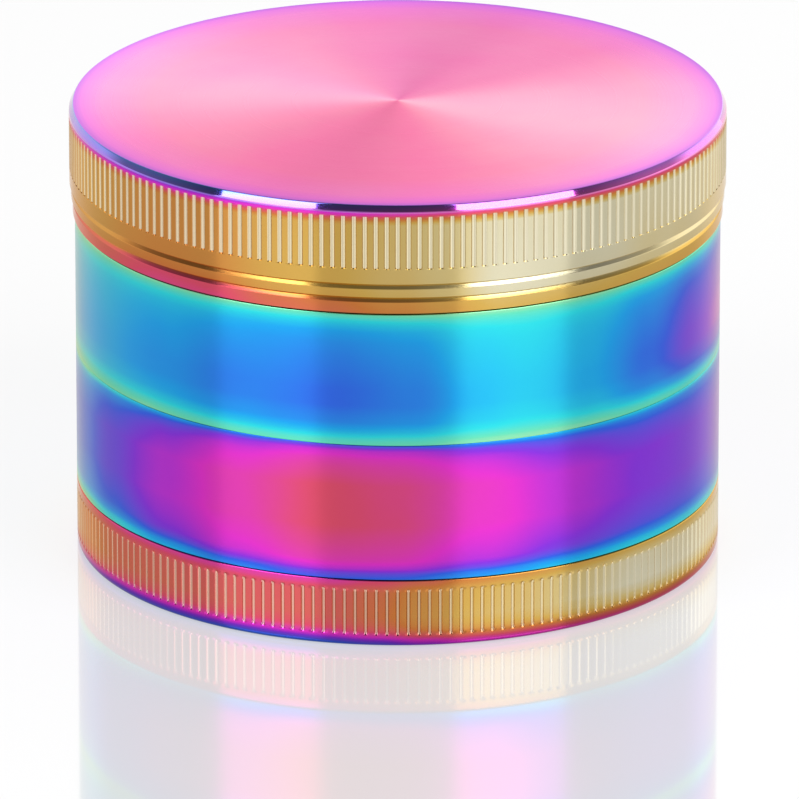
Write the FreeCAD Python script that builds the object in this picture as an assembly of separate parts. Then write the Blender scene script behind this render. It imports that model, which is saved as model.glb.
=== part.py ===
import FreeCAD, Part
import math
import os

# Four-piece screw-together herb grinder. Millimetres; +Z up the axis of the stack, origin under the base.

# Outside of the stack; the lid stands a little proud of the body
BODY_RADIUS = 31.0
GRIP_OVERHANG = 0.5
UPPER_RING_OVERHANG = 0.35
LOWER_RING_OVERHANG = 0.2

# Heights
BASE_BAND = 6.65
STORE_WALL_HEIGHT = 1.8
TRAY_BAND = 13.1
LID_HEIGHT = 10.65
SEAT_GAP = 0.06
LID_GAP = 0.25

# Edges
EDGE_CHAMFER = 0.25
FOOT_CHAMFER = 0.55
LID_RIM_ROUNDING = 0.85

# Fluted grips on the lid and the base
FLUTE_COUNT = 192
FLUTE_WIDTH = 0.56
FLUTE_BOTTOM_WIDTH = 0.24
FLUTE_DEPTH = 0.25
FLUTE_OVERRUN = 0.1
LID_LAND_OVER_FLUTES = 0.2
LID_LAND_UNDER_FLUTES = 1.35
BASE_LAND_OVER_FLUTES = 0.6
BASE_LAND_UNDER_FLUTES = 0.55

# Turned rings and lines under the lid's grip
LOWER_RING_HEIGHT = 1.5
UPPER_RING_HEIGHT = 1.35
LINE_WIDTH = 0.36
LINE_DEPTH = 0.28

# Screw joints, as plain spigots and sockets at the roots of their threads
SOCKET_WALL = 2.0
THREAD_ROOM = 0.7
SPIGOT_WALL = 2.0
SPIGOT_END_GAP = 0.3
BASE_SPIGOT_LENGTH = 3.0
TRAY_SPIGOT_LENGTH = 3.8

# Base dish
BASE_FLOOR = 1.8
DISH_ROUNDING = 3.0

# Sieve in the floor of the chamber
SCREEN_SEAT_STEP = 1.4
SCREEN_THICKNESS = 0.3
RETAINER_WIDTH = 2.6
RETAINER_THICKNESS = 1.2
FLANGE_WIDTH = 3.0
FLANGE_THICKNESS = 1.2
STORE_WALL_STEP = 1.8
FUNNEL_HEIGHT = 1.6
PIECE_CLEARANCE = 0.1

# Lid inside, and the slip ring between it and the tray's collar
LID_WALL = 1.8
LID_PLATE = 2.4
LID_BORE_GAP = 0.4
SLIP_RING_WALL = 1.0
SLIP_RING_HEIGHT = 3.0

# Grinding tray
COLLAR_WALL = 1.8
COLLAR_TOP_GAP = 0.8
TRAY_FLOOR_DEPTH = 4.35
TRAY_FLOOR_THICKNESS = 1.9
FLOOR_LEDGE_HEIGHT = 0.6
FLOOR_LEDGE_WIDTH = 0.45
DROP_HOLE_RADIUS = 1.9
DROP_HOLE_OVERRUN = 0.5
INNER_DROP_HOLES = 8
OUTER_DROP_HOLES = 12

# Magnets in the two centre posts
MAGNET_RADIUS = 5.0
MAGNET_THICKNESS = 3.0
POST_WALL = 1.9
POST_GAP = 0.4

# Diamond teeth, in four lanes between the post and the collar, by turns on the tray and on the lid
LANE_COUNT = 4
TOOTH_LENGTH = 5.0
TOOTH_PASSING_GAP = 1.65
TOOTH_DRAFT = 0.82
TOOTH_END_GAP = 1.0
TRAY_INNER_TEETH = 6
LID_INNER_TEETH = 8
TRAY_OUTER_TEETH = 10
LID_OUTER_TEETH = 12

# Levels that follow from the heights, from the floor up
BASE_TOP = BASE_BAND
BASE_SPIGOT_TOP = BASE_TOP + BASE_SPIGOT_LENGTH
CHAMBER_BOTTOM = BASE_TOP + SEAT_GAP
RETAINER_BOTTOM = BASE_SPIGOT_TOP + SPIGOT_END_GAP
RETAINER_TOP = RETAINER_BOTTOM + RETAINER_THICKNESS
SCREEN_TOP = RETAINER_TOP + SCREEN_THICKNESS
FLANGE_BOTTOM = SCREEN_TOP + SEAT_GAP
FLANGE_TOP = FLANGE_BOTTOM + FLANGE_THICKNESS
FUNNEL_TOP = FLANGE_TOP + FUNNEL_HEIGHT
UPPER_SOCKET_FLOOR = FUNNEL_TOP + STORE_WALL_HEIGHT
TRAY_SPIGOT_BOTTOM = UPPER_SOCKET_FLOOR + SPIGOT_END_GAP
TRAY_BOTTOM = TRAY_SPIGOT_BOTTOM + TRAY_SPIGOT_LENGTH
CHAMBER_TOP = TRAY_BOTTOM - SEAT_GAP
TRAY_SHOULDER = TRAY_BOTTOM + TRAY_BAND
TRAY_FLOOR_TOP = TRAY_SHOULDER - TRAY_FLOOR_DEPTH
TRAY_FLOOR_BOTTOM = TRAY_FLOOR_TOP - TRAY_FLOOR_THICKNESS
FLOOR_LEDGE_BOTTOM = TRAY_FLOOR_BOTTOM - FLOOR_LEDGE_HEIGHT
SLIP_RING_BOTTOM = TRAY_SHOULDER + SEAT_GAP
SLIP_RING_TOP = SLIP_RING_BOTTOM + SLIP_RING_HEIGHT
LID_BOTTOM = TRAY_SHOULDER + LID_GAP
LID_LEDGE = SLIP_RING_TOP + SEAT_GAP
LOWER_LINE = LID_BOTTOM + LOWER_RING_HEIGHT
UPPER_LINE = LOWER_LINE + UPPER_RING_HEIGHT
LID_TOP = LID_BOTTOM + LID_HEIGHT
LID_UNDERSIDE = LID_TOP - LID_PLATE
COLLAR_TOP = LID_UNDERSIDE - COLLAR_TOP_GAP
POSTS_MEET = (TRAY_FLOOR_TOP + LID_UNDERSIDE) / 2
TRAY_POST_TOP = POSTS_MEET - POST_GAP / 2
LID_POST_BOTTOM = POSTS_MEET + POST_GAP / 2
TRAY_TOOTH_TIP = LID_UNDERSIDE - TOOTH_END_GAP
LID_TOOTH_TIP = TRAY_FLOOR_TOP + TOOTH_END_GAP

# Radii that follow from the walls and fits, from the outside in
LID_GRIP_RADIUS = BODY_RADIUS + GRIP_OVERHANG
LID_UPPER_RING_RADIUS = BODY_RADIUS + UPPER_RING_OVERHANG
LID_LOWER_RING_RADIUS = BODY_RADIUS + LOWER_RING_OVERHANG
LID_SEAT_RADIUS = LID_LOWER_RING_RADIUS - LID_WALL
SLIP_RING_OUTER_RADIUS = LID_SEAT_RADIUS - PIECE_CLEARANCE
SLIP_RING_INNER_RADIUS = SLIP_RING_OUTER_RADIUS - SLIP_RING_WALL
COLLAR_RADIUS = SLIP_RING_INNER_RADIUS - PIECE_CLEARANCE
LID_BORE_RADIUS = COLLAR_RADIUS + LID_BORE_GAP
CAVITY_RADIUS = COLLAR_RADIUS - COLLAR_WALL
FLOOR_RADIUS = CAVITY_RADIUS - SEAT_GAP
FLOOR_LEDGE_RADIUS = CAVITY_RADIUS - FLOOR_LEDGE_WIDTH
SOCKET_RADIUS = BODY_RADIUS - SOCKET_WALL
SPIGOT_RADIUS = SOCKET_RADIUS - THREAD_ROOM
SPIGOT_INNER_RADIUS = SPIGOT_RADIUS - SPIGOT_WALL
STORE_RADIUS = SOCKET_RADIUS - STORE_WALL_STEP
SCREEN_SEAT_RADIUS = SOCKET_RADIUS - SCREEN_SEAT_STEP
SCREEN_RADIUS = SCREEN_SEAT_RADIUS - PIECE_CLEARANCE
RETAINER_INNER_RADIUS = SCREEN_RADIUS - RETAINER_WIDTH
FLANGE_INNER_RADIUS = SCREEN_SEAT_RADIUS - FLANGE_WIDTH
MAGNET_POCKET_RADIUS = MAGNET_RADIUS + PIECE_CLEARANCE
MAGNET_POCKET_DEPTH = MAGNET_THICKNESS + SEAT_GAP
POST_RADIUS = MAGNET_POCKET_RADIUS + POST_WALL
LANE_WIDTH = (CAVITY_RADIUS - POST_RADIUS) / LANE_COUNT
TOOTH_WIDTH = LANE_WIDTH - TOOTH_PASSING_GAP
TRAY_INNER_RING = POST_RADIUS + LANE_WIDTH / 2
LID_INNER_RING = TRAY_INNER_RING + LANE_WIDTH
TRAY_OUTER_RING = LID_INNER_RING + LANE_WIDTH
LID_OUTER_RING = TRAY_OUTER_RING + LANE_WIDTH

ORIGIN = FreeCAD.Vector(0, 0, 0)
UP = FreeCAD.Vector(0, 0, 1)


def turned(corners):
    """Solid of revolution about Z of a closed (radius, height) outline; a third value rounds its corner."""
    points = [FreeCAD.Vector(corner[0], 0, corner[1]) for corner in corners]
    arrivals, departures, edges = [], [], []
    for index, corner in enumerate(corners):
        here = points[index]
        if len(corner) == 2:
            arrivals.append(here)
            departures.append(here)
            continue
        back = (points[index - 1] - here).normalize()
        ahead = (points[(index + 1) % len(points)] - here).normalize()
        half_angle = back.getAngle(ahead) / 2
        setback = corner[2] / math.tan(half_angle)
        inward = (back + ahead).normalize()
        middle = here + inward * (corner[2] / math.sin(half_angle) - corner[2])
        arrivals.append(here + back * setback)
        departures.append(here + ahead * setback)
        edges.append(Part.Arc(arrivals[-1], middle, departures[-1]).toShape())
    for index, start in enumerate(departures):
        finish = arrivals[(index + 1) % len(arrivals)]
        edges.append(Part.makeLine(start, finish))
    outline = Part.Wire(Part.__sortEdges__(edges))
    return Part.Face(outline).revolve(ORIGIN, UP, 360)


def around(shape, count, first_angle=0.0):
    """Copies of a shape at even steps about Z."""
    step = 360.0 / count
    return [shape.rotated(ORIGIN, UP, first_angle + index * step) for index in range(count)]


def fluted(solid, radius, low, high):
    """Cut a band of short upright flutes, with sloping ends, into a cylinder of this radius."""
    slope = (FLUTE_WIDTH - FLUTE_BOTTOM_WIDTH) / 2 / FLUTE_DEPTH
    mouth_half = FLUTE_WIDTH / 2 + slope * FLUTE_OVERRUN
    root_half = FLUTE_BOTTOM_WIDTH / 2
    mouth_low = low - FLUTE_OVERRUN
    mouth_high = high + FLUTE_OVERRUN
    root_low = low + FLUTE_DEPTH
    root_high = high - FLUTE_DEPTH
    flute = Part.makeWedge(
        -root_half, radius - FLUTE_DEPTH, root_low, mouth_low, -mouth_half,
        root_half, radius + FLUTE_OVERRUN, root_high, mouth_high, mouth_half,
    )
    return solid.cut(Part.makeCompound(around(flute, FLUTE_COUNT)))


def diamond(share, height):
    """Corners of a tooth's rhombus at a height, its long diagonal along Y."""
    half_length = TOOTH_LENGTH / 2 * share
    half_width = TOOTH_WIDTH / 2 * share
    tips = [(0, -half_length), (half_width, 0), (0, half_length), (-half_width, 0)]
    return [FreeCAD.Vector(x, y, height) for x, y in tips]


def flat_face(corners):
    """Flat face on a closed outline of corners."""
    return Part.Face(Part.makePolygon(corners + corners[:1]))


def tooth_ring(ring_radius, count, root, tip):
    """Separate drafted diamond teeth on one circle, with a gap between two of them on +X."""
    foot = diamond(1.0, root)
    end = diamond(TOOTH_DRAFT, tip)
    faces = [flat_face(foot), flat_face(end)]
    for index in range(len(foot)):
        faces.append(flat_face([foot[index - 1], foot[index], end[index], end[index - 1]]))
    tooth = Part.Solid(Part.makeShell(faces))
    tooth.translate(FreeCAD.Vector(ring_radius, 0, 0))
    half_step = 180.0 / count
    return Part.makeCompound(around(tooth, count, half_step))


def base_cup():
    """Dish that catches what the sieve lets through, with a fluted grip and a screw spigot."""
    cup = turned([
        (0, 0),
        (BODY_RADIUS - FOOT_CHAMFER, 0),
        (BODY_RADIUS, FOOT_CHAMFER),
        (BODY_RADIUS, BASE_TOP - EDGE_CHAMFER),
        (BODY_RADIUS - EDGE_CHAMFER, BASE_TOP),
        (SPIGOT_RADIUS, BASE_TOP),
        (SPIGOT_RADIUS, BASE_SPIGOT_TOP - EDGE_CHAMFER),
        (SPIGOT_RADIUS - EDGE_CHAMFER, BASE_SPIGOT_TOP),
        (SPIGOT_INNER_RADIUS, BASE_SPIGOT_TOP),
        (SPIGOT_INNER_RADIUS, BASE_FLOOR, DISH_ROUNDING),
        (0, BASE_FLOOR),
    ])
    flutes_low = FOOT_CHAMFER + BASE_LAND_UNDER_FLUTES
    flutes_high = BASE_TOP - EDGE_CHAMFER - BASE_LAND_OVER_FLUTES
    return fluted(cup, BODY_RADIUS, flutes_low, flutes_high)


def screen_chamber():
    """Open ring that stores the ground herb over the sieve, with a screw socket at each end."""
    return turned([
        (SOCKET_RADIUS, CHAMBER_BOTTOM),
        (BODY_RADIUS - EDGE_CHAMFER, CHAMBER_BOTTOM),
        (BODY_RADIUS, CHAMBER_BOTTOM + EDGE_CHAMFER),
        (BODY_RADIUS, CHAMBER_TOP - EDGE_CHAMFER),
        (BODY_RADIUS - EDGE_CHAMFER, CHAMBER_TOP),
        (SOCKET_RADIUS, CHAMBER_TOP),
        (SOCKET_RADIUS, UPPER_SOCKET_FLOOR),
        (STORE_RADIUS, UPPER_SOCKET_FLOOR),
        (STORE_RADIUS, FUNNEL_TOP),
        (FLANGE_INNER_RADIUS, FLANGE_TOP),
        (FLANGE_INNER_RADIUS, FLANGE_BOTTOM),
        (SCREEN_SEAT_RADIUS, FLANGE_BOTTOM),
        (SCREEN_SEAT_RADIUS, RETAINER_BOTTOM),
        (SOCKET_RADIUS, RETAINER_BOTTOM),
    ])


def mesh_screen():
    """Sieve disc that lies under the chamber's flange."""
    return turned([
        (0, RETAINER_TOP),
        (SCREEN_RADIUS, RETAINER_TOP),
        (SCREEN_RADIUS, SCREEN_TOP),
        (0, SCREEN_TOP),
    ])


def screen_retaining_ring():
    """Flat ring pressed into the chamber from below, which holds the sieve against the flange."""
    return turned([
        (RETAINER_INNER_RADIUS, RETAINER_BOTTOM),
        (SCREEN_RADIUS - EDGE_CHAMFER, RETAINER_BOTTOM),
        (SCREEN_RADIUS, RETAINER_BOTTOM + EDGE_CHAMFER),
        (SCREEN_RADIUS, RETAINER_TOP),
        (RETAINER_INNER_RADIUS, RETAINER_TOP),
    ])


def grinding_tray():
    """Middle piece: collar under the lid, ledge for the floor, hollow underside and screw spigot."""
    return turned([
        (SPIGOT_INNER_RADIUS, TRAY_SPIGOT_BOTTOM),
        (SPIGOT_RADIUS - EDGE_CHAMFER, TRAY_SPIGOT_BOTTOM),
        (SPIGOT_RADIUS, TRAY_SPIGOT_BOTTOM + EDGE_CHAMFER),
        (SPIGOT_RADIUS, TRAY_BOTTOM),
        (BODY_RADIUS - EDGE_CHAMFER, TRAY_BOTTOM),
        (BODY_RADIUS, TRAY_BOTTOM + EDGE_CHAMFER),
        (BODY_RADIUS, TRAY_SHOULDER - EDGE_CHAMFER),
        (BODY_RADIUS - EDGE_CHAMFER, TRAY_SHOULDER),
        (COLLAR_RADIUS, TRAY_SHOULDER),
        (COLLAR_RADIUS, COLLAR_TOP - EDGE_CHAMFER),
        (COLLAR_RADIUS - EDGE_CHAMFER, COLLAR_TOP),
        (CAVITY_RADIUS, COLLAR_TOP),
        (CAVITY_RADIUS, TRAY_FLOOR_BOTTOM),
        (FLOOR_LEDGE_RADIUS, TRAY_FLOOR_BOTTOM),
        (FLOOR_LEDGE_RADIUS, FLOOR_LEDGE_BOTTOM),
        (SPIGOT_INNER_RADIUS, FLOOR_LEDGE_BOTTOM),
    ])


def drop_holes(ring_radius, count):
    """Cutters for the round holes between the rings of tray teeth, through the tray's floor."""
    start = FreeCAD.Vector(ring_radius, 0, TRAY_FLOOR_BOTTOM - DROP_HOLE_OVERRUN)
    length = TRAY_FLOOR_THICKNESS + 2 * DROP_HOLE_OVERRUN
    cutter = Part.makeCylinder(DROP_HOLE_RADIUS, length, start, UP)
    return around(cutter, count)


def tray_floor():
    """Plate on the tray's ledge that carries the teeth and the post, with the drop holes."""
    centre = FreeCAD.Vector(0, 0, TRAY_FLOOR_BOTTOM)
    plate = Part.makeCylinder(FLOOR_RADIUS, TRAY_FLOOR_THICKNESS, centre, UP)
    holes = drop_holes(LID_INNER_RING, INNER_DROP_HOLES) + drop_holes(LID_OUTER_RING, OUTER_DROP_HOLES)
    return plate.cut(Part.makeCompound(holes))


def tray_post():
    """Centre post on the tray's floor, with an open pocket for its magnet."""
    return turned([
        (0, TRAY_FLOOR_TOP),
        (POST_RADIUS, TRAY_FLOOR_TOP),
        (POST_RADIUS, TRAY_POST_TOP - EDGE_CHAMFER),
        (POST_RADIUS - EDGE_CHAMFER, TRAY_POST_TOP),
        (MAGNET_POCKET_RADIUS, TRAY_POST_TOP),
        (MAGNET_POCKET_RADIUS, TRAY_POST_TOP - MAGNET_POCKET_DEPTH),
        (0, TRAY_POST_TOP - MAGNET_POCKET_DEPTH),
    ])


def slip_ring():
    """Low-friction ring on the tray's shoulder that carries and centres the turning lid."""
    return turned([
        (SLIP_RING_INNER_RADIUS, SLIP_RING_BOTTOM),
        (SLIP_RING_OUTER_RADIUS, SLIP_RING_BOTTOM),
        (SLIP_RING_OUTER_RADIUS, SLIP_RING_TOP),
        (SLIP_RING_INNER_RADIUS, SLIP_RING_TOP),
    ])


def lid():
    """Cap with a fluted grip, two turned lines, a rounded rim and a centre post for its magnet."""
    half_line = LINE_WIDTH / 2
    cap = turned([
        (LID_SEAT_RADIUS, LID_BOTTOM),
        (LID_LOWER_RING_RADIUS - EDGE_CHAMFER, LID_BOTTOM),
        (LID_LOWER_RING_RADIUS, LID_BOTTOM + EDGE_CHAMFER),
        (LID_LOWER_RING_RADIUS, LOWER_LINE - half_line),
        (LID_LOWER_RING_RADIUS - LINE_DEPTH, LOWER_LINE),
        (LID_UPPER_RING_RADIUS, LOWER_LINE + half_line),
        (LID_UPPER_RING_RADIUS, UPPER_LINE - half_line),
        (LID_UPPER_RING_RADIUS - LINE_DEPTH, UPPER_LINE),
        (LID_GRIP_RADIUS, UPPER_LINE + half_line),
        (LID_GRIP_RADIUS, LID_TOP, LID_RIM_ROUNDING),
        (0, LID_TOP),
        (0, LID_POST_BOTTOM + MAGNET_POCKET_DEPTH),
        (MAGNET_POCKET_RADIUS, LID_POST_BOTTOM + MAGNET_POCKET_DEPTH),
        (MAGNET_POCKET_RADIUS, LID_POST_BOTTOM),
        (POST_RADIUS - EDGE_CHAMFER, LID_POST_BOTTOM),
        (POST_RADIUS, LID_POST_BOTTOM + EDGE_CHAMFER),
        (POST_RADIUS, LID_UNDERSIDE),
        (LID_BORE_RADIUS, LID_UNDERSIDE),
        (LID_BORE_RADIUS, LID_LEDGE),
        (LID_SEAT_RADIUS, LID_LEDGE),
    ])
    flutes_low = UPPER_LINE + half_line + LID_LAND_UNDER_FLUTES
    flutes_high = LID_TOP - LID_RIM_ROUNDING - LID_LAND_OVER_FLUTES
    return fluted(cap, LID_GRIP_RADIUS, flutes_low, flutes_high)


def magnet(low):
    """Disc magnet that fills a post's pocket."""
    return Part.makeCylinder(MAGNET_RADIUS, MAGNET_THICKNESS, FreeCAD.Vector(0, 0, low), UP)


PIECES = {
    "base_cup": base_cup(),
    "mesh_screen": mesh_screen(),
    "screen_retaining_ring": screen_retaining_ring(),
    "screen_chamber": screen_chamber(),
    "grinding_tray": grinding_tray(),
    "tray_floor": tray_floor(),
    "tray_post": tray_post(),
    "tray_inner_teeth": tooth_ring(TRAY_INNER_RING, TRAY_INNER_TEETH, TRAY_FLOOR_TOP, TRAY_TOOTH_TIP),
    "tray_outer_teeth": tooth_ring(TRAY_OUTER_RING, TRAY_OUTER_TEETH, TRAY_FLOOR_TOP, TRAY_TOOTH_TIP),
    "tray_magnet": magnet(TRAY_POST_TOP - MAGNET_THICKNESS),
    "slip_ring": slip_ring(),
    "lid": lid(),
    "lid_inner_teeth": tooth_ring(LID_INNER_RING, LID_INNER_TEETH, LID_UNDERSIDE, LID_TOOTH_TIP),
    "lid_outer_teeth": tooth_ring(LID_OUTER_RING, LID_OUTER_TEETH, LID_UNDERSIDE, LID_TOOTH_TIP),
    "lid_magnet": magnet(LID_POST_BOTTOM),
}

os.makedirs("parts", exist_ok=True)
for node, shape in PIECES.items():
    shape.exportStep(f"parts/{node}.step")
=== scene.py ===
import math

import bpy
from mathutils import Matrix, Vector


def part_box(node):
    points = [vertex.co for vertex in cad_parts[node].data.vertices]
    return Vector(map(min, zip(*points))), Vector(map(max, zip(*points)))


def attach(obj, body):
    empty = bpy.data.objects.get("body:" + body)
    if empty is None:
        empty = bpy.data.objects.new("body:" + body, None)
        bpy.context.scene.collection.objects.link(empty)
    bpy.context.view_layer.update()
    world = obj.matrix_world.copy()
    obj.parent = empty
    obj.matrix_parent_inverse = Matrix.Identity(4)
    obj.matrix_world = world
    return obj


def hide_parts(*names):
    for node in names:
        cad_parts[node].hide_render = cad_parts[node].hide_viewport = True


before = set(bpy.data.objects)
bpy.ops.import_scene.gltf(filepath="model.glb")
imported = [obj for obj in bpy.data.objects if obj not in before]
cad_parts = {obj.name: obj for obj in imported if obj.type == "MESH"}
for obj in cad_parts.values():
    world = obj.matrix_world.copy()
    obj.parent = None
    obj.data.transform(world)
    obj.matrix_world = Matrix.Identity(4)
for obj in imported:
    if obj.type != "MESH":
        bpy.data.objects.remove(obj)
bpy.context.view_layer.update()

scene = bpy.context.scene
scene.view_settings.view_transform = "Standard"
MM = 0.001


# Sizes, in millimetres

def levels(node):
    """Lowest and highest point of a solid."""
    low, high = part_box(node)
    return low.z / MM, high.z / MM


def reach_of(node):
    """Outer radius of a round solid."""
    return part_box(node)[1].x / MM


# Gaps, walls and steps of the solids
SEAT_GAP = 0.06
PIECE_CLEARANCE = 0.1
SPIGOT_END_GAP = 0.3
SOCKET_WALL = 2.0
SPIGOT_WALL = 2.0
THREAD_ROOM = 0.7
BASE_FLOOR = 1.8
DISH_ROUNDING = 3.0
FLANGE_WIDTH = 3.0
FLANGE_THICKNESS = 1.2
FUNNEL_HEIGHT = 1.6
STORE_WALL_STEP = 1.8
LEDGE_HEIGHT = 0.6
LEDGE_WIDTH = 0.45
COLLAR_WALL = 1.8
SLIP_RING_WALL = 1.0
LID_BORE_GAP = 0.4
POST_WALL = 1.9
LOWER_RING_HEIGHT = 1.5
UPPER_RING_HEIGHT = 1.35
LOWER_RING_OVERHANG = 0.2
UPPER_RING_OVERHANG = 0.35

# Levels above the floor
BASE_SPIGOT_TOP = levels("base_cup")[1]
CHAMBER_BOTTOM, CHAMBER_TOP = levels("screen_chamber")
BASE_TOP = CHAMBER_BOTTOM - SEAT_GAP
LOWER_SOCKET_ROOF = levels("screen_retaining_ring")[0]
SCREEN_BOTTOM, SCREEN_TOP = levels("mesh_screen")
FLANGE_BOTTOM = SCREEN_TOP + SEAT_GAP
FLANGE_TOP = FLANGE_BOTTOM + FLANGE_THICKNESS
FUNNEL_TOP = FLANGE_TOP + FUNNEL_HEIGHT
TRAY_SPIGOT_BOTTOM, COLLAR_TOP = levels("grinding_tray")
UPPER_SOCKET_FLOOR = TRAY_SPIGOT_BOTTOM - SPIGOT_END_GAP
TRAY_BOTTOM = CHAMBER_TOP + SEAT_GAP
LEDGE_TOP = levels("tray_floor")[0]
LEDGE_BOTTOM = LEDGE_TOP - LEDGE_HEIGHT
SLIP_RING_BOTTOM, SLIP_RING_TOP = levels("slip_ring")
TRAY_SHOULDER = SLIP_RING_BOTTOM - SEAT_GAP
LID_LEDGE = SLIP_RING_TOP + SEAT_GAP
LID_POST_BOTTOM, LID_MAGNET_TOP = levels("lid_magnet")
POCKET_ROOF = LID_MAGNET_TOP + SEAT_GAP
LID_SKIRT, LID_TOP = levels("lid")
LOWER_LINE = LID_SKIRT + LOWER_RING_HEIGHT
UPPER_LINE = LOWER_LINE + UPPER_RING_HEIGHT
LID_UNDERSIDE = levels("lid_outer_teeth")[1]

# Two seams are closed a little further here than in the solids
SKIRT_DROP = 0.12
RIM_RISE = 0.05
LID_BOTTOM = LID_SKIRT - SKIRT_DROP
CHAMBER_RIM = CHAMBER_TOP + RIM_RISE

# Radii
GRIP_RADIUS = reach_of("lid")
BODY_RADIUS = reach_of("screen_chamber")
UPPER_RING_RADIUS = BODY_RADIUS + UPPER_RING_OVERHANG
LOWER_RING_RADIUS = BODY_RADIUS + LOWER_RING_OVERHANG
SOCKET_RADIUS = BODY_RADIUS - SOCKET_WALL
SPIGOT_RADIUS = SOCKET_RADIUS - THREAD_ROOM
SPIGOT_BORE = SPIGOT_RADIUS - SPIGOT_WALL
STORE_RADIUS = SOCKET_RADIUS - STORE_WALL_STEP
SCREEN_RADIUS = reach_of("mesh_screen")
SCREEN_SEAT_RADIUS = SCREEN_RADIUS + PIECE_CLEARANCE
FLANGE_BORE = SCREEN_SEAT_RADIUS - FLANGE_WIDTH
SLIP_RING_RADIUS = reach_of("slip_ring")
LID_BORE = SLIP_RING_RADIUS + PIECE_CLEARANCE
COLLAR_RADIUS = SLIP_RING_RADIUS - SLIP_RING_WALL - PIECE_CLEARANCE
LID_CAVITY_RADIUS = COLLAR_RADIUS + LID_BORE_GAP
TRAY_CAVITY_RADIUS = COLLAR_RADIUS - COLLAR_WALL
LEDGE_BORE = TRAY_CAVITY_RADIUS - LEDGE_WIDTH
POCKET_RADIUS = reach_of("lid_magnet") + PIECE_CLEARANCE
POST_RADIUS = POCKET_RADIUS + POST_WALL

# Turned lines under the lid's grip, and the bright facet round its top
LINE_HEIGHT = 0.48
LINE_DEPTH = 0.26
LINE_STEP = 0.06
FACET_HEIGHT = 0.61
FACET_WIDTH = 0.38

# Fluted grips; a flute's profile is (share of its width, share of its depth), out from the middle
FLUTE_COUNT = 192
FLUTE_DEPTH = 0.15
FLUTE_PROFILE = [(0.0, 1.0), (0.24, 0.95), (0.35, 0.68), (0.43, 0.24), (0.5, 0.0)]
LID_FLUTE_WIDTH = 0.54
BASE_FLUTE_WIDTH = 0.4
LID_RUNOUT = 0.04
BASE_RUNOUT = 0.3
EASED_RUNOUT = 0.1
LID_BAND_UNDER_FLUTES = 1.53
LID_BAND_OVER_FLUTES = 1.05
BASE_BAND_UNDER_FLUTES = 1.1
BASE_BAND_OVER_FLUTES = 0.85
LID_FLUTES = (UPPER_LINE + LID_BAND_UNDER_FLUTES, LID_TOP - LID_BAND_OVER_FLUTES)
BASE_FLUTES = (BASE_BAND_UNDER_FLUTES, BASE_TOP - BASE_BAND_OVER_FLUTES)

# Distances from the ends of the flutes to the nearest plain rows of points
LID_LAND_UNDER = 0.1
LID_LAND_OVER = 0.04
BASE_LAND_UNDER = 0.06
BASE_LAND_OVER = 0.1

# Screw threads
THREAD_PITCH = 1.5
THREAD_HEIGHT = 0.55
THREAD_ROOT_HALF = 0.46
THREAD_CREST_HALF = 0.17
THREAD_SUNK = 0.08
THREAD_END_SHARE = 0.9
THREAD_RUNOUT_TURNS = 0.12
THREAD_STEPS_PER_TURN = 120

# Woven sieve
WIRE_PITCH = 0.9
WIRE_RADIUS = 0.07
WIRE_SIDES = 6

# Distance of the extra points that keep a flat face flat beside a rounding
GUARD = 0.05


# Mesh helpers

def rounded(corners, steps=6, guard=GUARD):
    """Points of an outline of (radius, height[, rounding]) corners."""
    points = []
    count = len(corners)
    for index, corner in enumerate(corners):
        here = Vector(corner[:2])
        if len(corner) == 2:
            points.append(here)
            continue
        back = Vector(corners[index - 1][:2]) - here
        ahead = Vector(corners[(index + 1) % count][:2]) - here
        spare = min(back.length, ahead.length)
        back.normalize()
        ahead.normalize()
        half = back.angle(ahead) / 2
        reach = corner[2] / math.tan(half)
        start, finish = here + back * reach, here + ahead * reach
        centre = here + (back + ahead).normalized() * (corner[2] / math.sin(half))
        guarded = reach + guard < spare / 2
        if guarded:
            points.append(start + back * guard)
        for step in range(steps + 1):
            spoke = (start - centre).slerp(finish - centre, step / steps).normalized()
            points.append(centre + spoke * corner[2])
        if guarded:
            points.append(finish + ahead * guard)
    return [(point.x, point.y) for point in points]


def flute_rows(radius, low, high, width, runout):
    """Rows (radius, height, width, depth) of a fluted band whose flutes run out at both ends."""
    ease = [0.0, 0.2, 0.45, 1.0] if runout > EASED_RUNOUT else [0.0, 1.0]
    ends = [(runout * share, FLUTE_DEPTH * math.sin(share * math.pi / 2)) for share in ease]
    ends.append((runout + GUARD, FLUTE_DEPTH))
    rows = [(radius, low + step, width, depth) for step, depth in ends]
    rows += [(radius, high - step, width, depth) for step, depth in reversed(ends)]
    return rows


def row_angles(radius, width):
    """Angle about Z of each point of a row, and the share of the flutes' depth that it has."""
    pitch = 2 * math.pi / FLUTE_COUNT
    front = -math.pi / 2
    if not width:
        return [(front + index * pitch / 2, 0.0) for index in range(2 * FLUTE_COUNT)]
    width = width / radius
    angles = []
    for flute in range(FLUTE_COUNT):
        middle = front + flute * pitch
        angles += [(middle + share * width, depth) for share, depth in FLUTE_PROFILE]
        angles.append((middle + pitch / 2, 0.0))
        angles += [(middle + pitch - share * width, depth)
                   for share, depth in reversed(FLUTE_PROFILE[1:])]
    return angles


def new_piece(name, verts, faces, smooth_angle=35.0):
    mesh = bpy.data.meshes.new(name)
    mesh.from_pydata(verts, [], faces)
    mesh.validate()
    mesh.shade_smooth()
    mesh.set_sharp_from_angle(angle=math.radians(smooth_angle))
    piece = bpy.data.objects.new(name, mesh)
    scene.collection.objects.link(piece)
    return piece


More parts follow.
